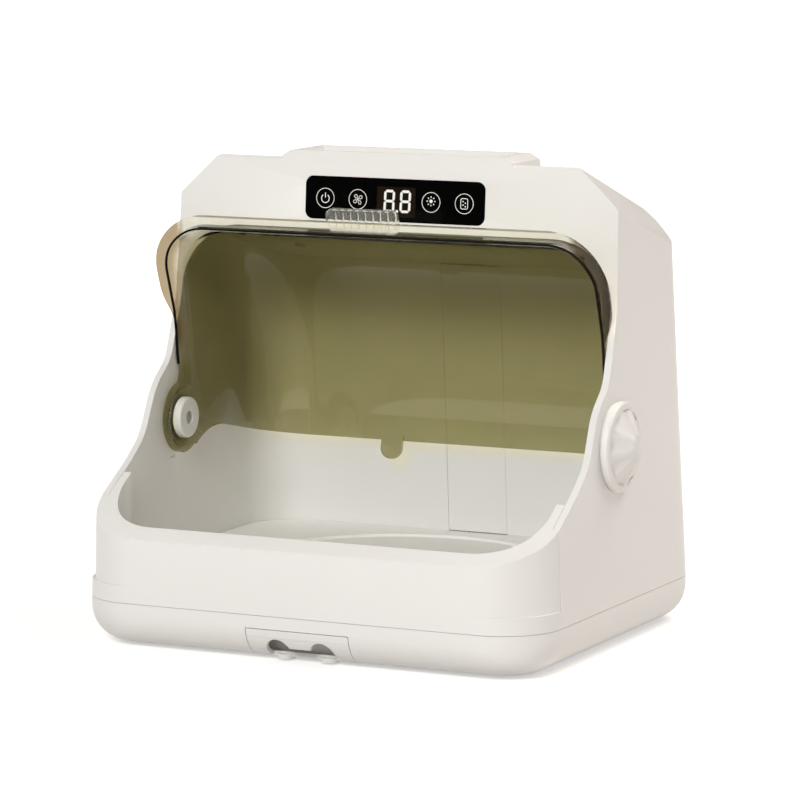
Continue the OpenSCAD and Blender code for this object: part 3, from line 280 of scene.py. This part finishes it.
plainNodes = {
    "panel_cable": "greyAcetal",
    "display_module": "blackPolyamide",
    "control_board": "solderMask",
    "touch_springs": "platedSteel",
    "interlock_switch": "blackPolyamide",
    "uv_window": "clearAcrylic",
    "uv_board": "solderMask",
    "main_board": "solderMask",
    "blower_scroll": "greyAcetal",
    "blower_motor": "platedSteel",
    "motor_shaft": "platedSteel",
    "blower_wheel": "blackPolyamide",
    "heater_duct": "greyAcetal",
    "heater_core": "heaterStone",
    "air_filter": "filterFoam",
    "pivot_bush_left": "greyAcetal",
    "pivot_bush_right": "greyAcetal",
    "pivot_screws": "platedSteel",
    "base_screws": "platedSteel",
    "ceiling_screws": "platedSteel",
}
for node, material in plainNodes.items():
    dress(nodes[node], material)
print("inner pieces dressed:", len(plainNodes))

# The lens plane: marks are drawn flat in mm, then laid on the lens; lean in degrees
lensPlane = dict(lean=4.0, thick=2.0, print=0.06)


def onLens(height):
    low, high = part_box("control_lens")
    centre = (low + high) / 2
    tilt = Matrix.Rotation(math.radians(90 - lensPlane["lean"]), 4, "X")
    lift = Matrix.Translation((0, 0, (lensPlane["thick"] / 2 + height) * mm))
    return Matrix.Translation(centre) @ tilt @ lift @ Matrix.Scale(mm, 4)


# A flat strip along a row of points, with cut ends
def strokePath(bm, points, width, closed=False):
    count = len(points)
    pairs = []
    for i, point in enumerate(points):
        before = points[i - 1] if (i > 0 or closed) else point
        after = points[(i + 1) % count] if (i < count - 1 or closed) else point
        along = (Vector(after) - Vector(before)).normalized()
        side = Vector((-along.y, along.x)) * width / 2
        spot = Vector(point)
        pairs.append([bm.verts.new((*(spot + s * side), 0)) for s in (-1, 1)])
    for i in range(count if closed else count - 1):
        a, b = pairs[i], pairs[(i + 1) % count]
        bm.faces.new((a[0], b[0], b[1], a[1]))


def arcPoints(cx, cy, radius, start, end, steps):
    turns = [math.radians(start + (end - start) * i / steps) for i in range(steps + 1)]
    return [(cx + radius * math.cos(t), cy + radius * math.sin(t)) for t in turns]


def circlePoints(cx, cy, radius, count):
    return arcPoints(cx, cy, radius, 0, 360, count)[:-1]


def ringPath(bm, cx, cy, radius, width, count=48):
    strokePath(bm, circlePoints(cx, cy, radius, count), width, closed=True)


def roundCorners(cx, cy, width, height, corner, steps=6):
    outline = []
    for sx, sy, start in ((1, 1, 0), (-1, 1, 90), (-1, -1, 180), (1, -1, 270)):
        outline += arcPoints(cx + sx * (width / 2 - corner), cy + sy * (height / 2 - corner), corner,
                             start, start + 90, steps)
    return outline


def filledShape(bm, points):
    bm.faces.new([bm.verts.new((x, y, 0)) for x, y in points])


# Thickness for flat marks, then their place on the lens
def layOnLens(bm, height):
    flat = bm.faces[:]
    grown = bmesh.ops.extrude_face_region(bm, geom=flat)
    raised = [v for v in grown["geom"] if isinstance(v, bmesh.types.BMVert)]
    bmesh.ops.translate(bm, verts=raised, vec=(0, 0, lensPlane["print"]))
    bmesh.ops.recalc_face_normals(bm, faces=bm.faces)
    bmesh.ops.transform(bm, matrix=onLens(height), verts=bm.verts)


# The marks of the touch keys, all in mm from the middle of the lens or of the key
keys = dict(inner=29.0, outer=55.0, lift=-0.3, ring=7.05, line=0.43)
powerSign = dict(drop=0.3, radius=3.1, start=128, end=412, bar=(0.3, 3.9), line=0.6, steps=24)
fanSign = dict(blades=4, turn=32, line=0.45, hub=0.5, hubLine=0.4, hubCount=20,
               leaf=((1.0, 0.0), (1.9, 1.15), (3.4, 1.2), (4.1, 0.1), (3.3, -0.95), (1.9, -0.8)))
lampSign = dict(lift=0.8, disc=1.25, discCount=36, rays=8, reach=(2.5, 3.5), line=0.7)
cabinetSign = dict(width=5.4, height=7.4, corner=1.1, line=0.5, dot=0.5, dotCount=12,
                   dots=((-0.9, 1.6), (0.9, 0.4), (-0.9, -0.9), (0.9, -2.0)))


def powerMark(bm, x, y):
    sign = powerSign
    strokePath(bm, arcPoints(x, y - sign["drop"], sign["radius"], sign["start"], sign["end"], sign["steps"]),
               sign["line"])
    strokePath(bm, [(x, y + up) for up in sign["bar"]], sign["line"])


# Leaf-shaped blades round a small hub
def fanMark(bm, x, y):
    sign = fanSign
    for blade in range(sign["blades"]):
        turn = math.radians(sign["turn"] + 360 / sign["blades"] * blade)
        leaf = [(x + u * math.cos(turn) - v * math.sin(turn), y + u * math.sin(turn) + v * math.cos(turn))
                for u, v in sign["leaf"]]
        strokePath(bm, leaf, sign["line"], True)
    ringPath(bm, x, y, sign["hub"], sign["hubLine"], sign["hubCount"])


def lampMark(bm, x, y):
    sign = lampSign
    y += sign["lift"]
    filledShape(bm, circlePoints(x, y, sign["disc"], sign["discCount"]))
    for ray in range(sign["rays"]):
        turn = math.radians(360 / sign["rays"] * ray)
        strokePath(bm, [(x + r * math.cos(turn), y + r * math.sin(turn)) for r in sign["reach"]], sign["line"])


# A small cabinet with round corners and dots for its air holes
def cabinetMark(bm, x, y):
    sign = cabinetSign
    strokePath(bm, roundCorners(x, y, sign["width"], sign["height"], sign["corner"]), sign["line"], True)
    for dx, dy in sign["dots"]:
        filledShape(bm, circlePoints(x + dx, y + dy, sign["dot"], sign["dotCount"]))


def keyMarks():
    bm = bmesh.new()
    spots = [(-keys["outer"], powerMark), (-keys["inner"], fanMark),
             (keys["inner"], lampMark), (keys["outer"], cabinetMark)]
    for x, drawMark in spots:
        ringPath(bm, x, keys["lift"], keys["ring"], keys["line"])
        drawMark(bm, x, keys["lift"])
    layOnLens(bm, 0)
    endPiece(bm, "keyMarks", "whitePrint", "cabinet")


display = dict(width=30.6, height=21.5, corner=1.2, shift=1.4, drop=-1.2)
digits = dict(height=16.2, width=8.6, gap=12.7, stroke=1.85, space=0.18, slant=0.03, shift=2.4, drop=-0.6,
              point=1.1, pointShift=-0.2, pointCount=18)


def displayWindow():
    bm = bmesh.new()
    filledShape(bm, roundCorners(display["shift"], display["drop"], display["width"], display["height"],
                                 display["corner"]))
    layOnLens(bm, 0)
    endPiece(bm, "displayWindow", "displayFilm", "cabinet")


# Seven bars for each figure, cut at a slant where they meet
def displayDigits():
    bm = bmesh.new()
    w, h, t = digits["width"] / 2, digits["height"] / 2, digits["stroke"] / 2
    space, drop = digits["space"], digits["drop"]

    def bar(ax, ay, bx, by, cx):
        along = (Vector((bx, by)) - Vector((ax, ay))).normalized()
        side = Vector((-along.y, along.x)) * t
        a, b = Vector((ax, ay)) + along * space, Vector((bx, by)) - along * space
        points = [a, a + along * t + side, b - along * t + side, b, b - along * t - side, a + along * t - side]
        filledShape(bm, [(cx + p.x + digits["slant"] * p.y, p.y + drop) for p in points])

    for cx in (digits["shift"] - digits["gap"] / 2, digits["shift"] + digits["gap"] / 2):
        for y in (-h + t, 0, h - t):
            bar(-w + t, y, w - t, y, cx)
        for x in (-w + t, w - t):
            bar(x, 0, x, h - t, cx)
            bar(x, -h + t, x, 0, cx)
    filledShape(bm, circlePoints(digits["shift"] + digits["pointShift"], -h + t + drop, digits["point"],
                                 digits["pointCount"]))
    layOnLens(bm, lensPlane["print"])
    endPiece(bm, "displayDigits", "whitePrint", "cabinet")


keyMarks()
displayWindow()
displayDigits()
print("panel marks laid on the lens")

# Floor: pale, lifted to white for the camera, with the object's shadow kept. Lengths in m
studio = dict(floor=40.0, floorColour="E4E2DF", lift=0.5, farLift=1.0, near=0.5, far=2.6,
              worldColour="FFFAF5", worldStrength=0.25)


def paleFloor():
    bm = bmesh.new()
    bmesh.ops.create_grid(bm, x_segments=1, y_segments=1, size=studio["floor"] / 2)
    mesh = bpy.data.meshes.new("paleFloor")
    bm.to_mesh(mesh)
    bm.free()
    floor = bpy.data.objects.new("paleFloor", mesh)
    bpy.context.scene.collection.objects.link(floor)
    material = newMaterial("paleFloor")
    path = addNode(material, "ShaderNodeLightPath")
    seen = addNode(material, "ShaderNodeMath", links={0: (path, "Is Camera Ray"), 1: (path, "Is Glossy Ray")},
                   operation="MAXIMUM")
    through = addNode(material, "ShaderNodeMath", links={0: (seen, 0), 1: (path, "Is Transmission Ray")},
                      operation="MAXIMUM")
    place = addNode(material, "ShaderNodeTexCoord")
    away = addNode(material, "ShaderNodeVectorMath", links={0: (place, "Object")}, operation="LENGTH")
    lift = addNode(material, "ShaderNodeMapRange",
                   {"From Min": studio["near"], "From Max": studio["far"], "To Min": studio["lift"],
                    "To Max": studio["farLift"]}, {"Value": (away, "Value")})
    strength = addNode(material, "ShaderNodeMath", links={0: (through, 0), 1: (lift, "Result")},
                       operation="MULTIPLY")
    glow = addNode(material, "ShaderNodeEmission", {"Color": hexColour("FFFFFF")}, {"Strength": (strength, 0)})
    cover = addNode(material, "ShaderNodeBsdfDiffuse", {"Color": hexColour(studio["floorColour"])})
    both = addNode(material, "ShaderNodeAddShader", links={0: (glow, 0), 1: (cover, 0)})
    addNode(material, "ShaderNodeOutputMaterial", links={"Surface": (both, 0)})
    floor.data.materials.append(material)


def softWorld():
    world = bpy.data.worlds.new("softWorld")
    world.use_nodes = True
    world.node_tree.nodes.clear()
    path = addNode(world, "ShaderNodeLightPath")
    seen = addNode(world, "ShaderNodeMath", links={0: (path, "Is Camera Ray"), 1: (path, "Is Transmission Ray")},
                   operation="MAXIMUM")
    strength = addNode(world, "ShaderNodeMapRange",
                       {"To Min": studio["worldStrength"], "To Max": 1.0}, {"Value": (seen, 0)})
    colour = addNode(world, "ShaderNodeMix", {"A": hexColour(studio["worldColour"]), "B": hexColour("FFFFFF")},
                     {"Factor": (seen, 0)}, data_type="RGBA")
    sky = addNode(world, "ShaderNodeBackground",
                  links={"Color": (colour, "Result"), "Strength": (strength, "Result")})
    addNode(world, "ShaderNodeOutputWorld", links={"Surface": (sky, 0)})
    bpy.context.scene.world = world


lamps = {
    # name: place in m, aim in m, width and height in m, watts, colour
    "keyLamp": ((0.1, -2.2, 1.45), (0, 0, 0.15), (0.8, 0.6), 34.5, "FFFFFF"),
    "fillLamp": ((1.9, -0.8, 1.5), (0, 0, 0.15), (1.2, 1.2), 3, "FFF0E4"),
    "roofLamp": ((0.9, 0.9, 1.9), (0, 0, 0.2), (1.2, 1.0), 26, "FFF6F0"),
    "sideLamp": ((-1.9, 1.0, 0.9), (0, 0, 0.15), (1.2, 1.2), 11, "FFFFFF"),
}


def softLamps():
    for name, (place, aim, size, watts, colour) in lamps.items():
        data = bpy.data.lights.new(name, "AREA")
        data.shape = "RECTANGLE"
        data.size, data.size_y = size
        data.energy = watts
        data.color = hexColour(colour)[:3]
        lamp = bpy.data.objects.new(name, data)
        lamp.location = place
        lamp.rotation_euler = (Vector(aim) - Vector(place)).to_track_quat("-Z", "Y").to_euler()
        bpy.context.scene.collection.objects.link(lamp)


paleFloor()
softWorld()
softLamps()
print("studio ready")

# Camera at the photograph's place: a long lens from the front right
view = dict(eye=(1.3076, -2.7139, 0.5820), azimuth=25.627, pitch=7.850, lens=190.55, sensor=36.0, clipEnd=100)


def photoCamera():
    data = bpy.data.cameras.new("photoCamera")
    data.lens = view["lens"]
    data.sensor_width = view["sensor"]
    data.clip_end = view["clipEnd"]
    camera = bpy.data.objects.new("photoCamera", data)
    camera.location = view["eye"]
    camera.rotation_euler = (math.radians(90 - view["pitch"]), 0, math.radians(view["azimuth"]))
    bpy.context.scene.collection.objects.link(camera)
    bpy.context.scene.camera = camera


photoCamera()
bpy.context.scene.view_settings.view_transform = "Standard"

print("done")
